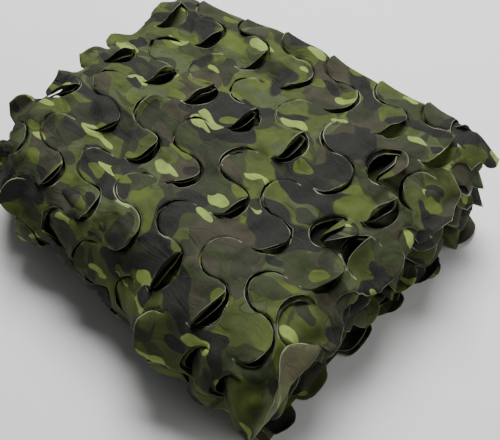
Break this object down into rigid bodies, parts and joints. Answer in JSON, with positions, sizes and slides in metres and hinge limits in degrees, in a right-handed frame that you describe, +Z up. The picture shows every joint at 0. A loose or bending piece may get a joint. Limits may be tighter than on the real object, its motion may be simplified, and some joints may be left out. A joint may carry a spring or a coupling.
{
  "type": "camouflage net",
  "caption": "Leaf-cut camouflage net folded into a soft flat pack, its outer turn wrapped over one long side and the top, for a shelf, shop or camp scene.",
  "frame": {"origin": "middle of the pack's box, on the plane it rests on", "axes": "+X along the folds, across the two cut ends; +Y from the wrapped side to the side with the tight folds; +Z up, out of the pack's top"},
  "size_m": [0.5761, 0.5007, 0.1885],
  "materials": {
    "net_cloth": "matte"
  },
  "bodies": {
    "root": {"net": "net_cloth"}
  },
  "joints": []
}
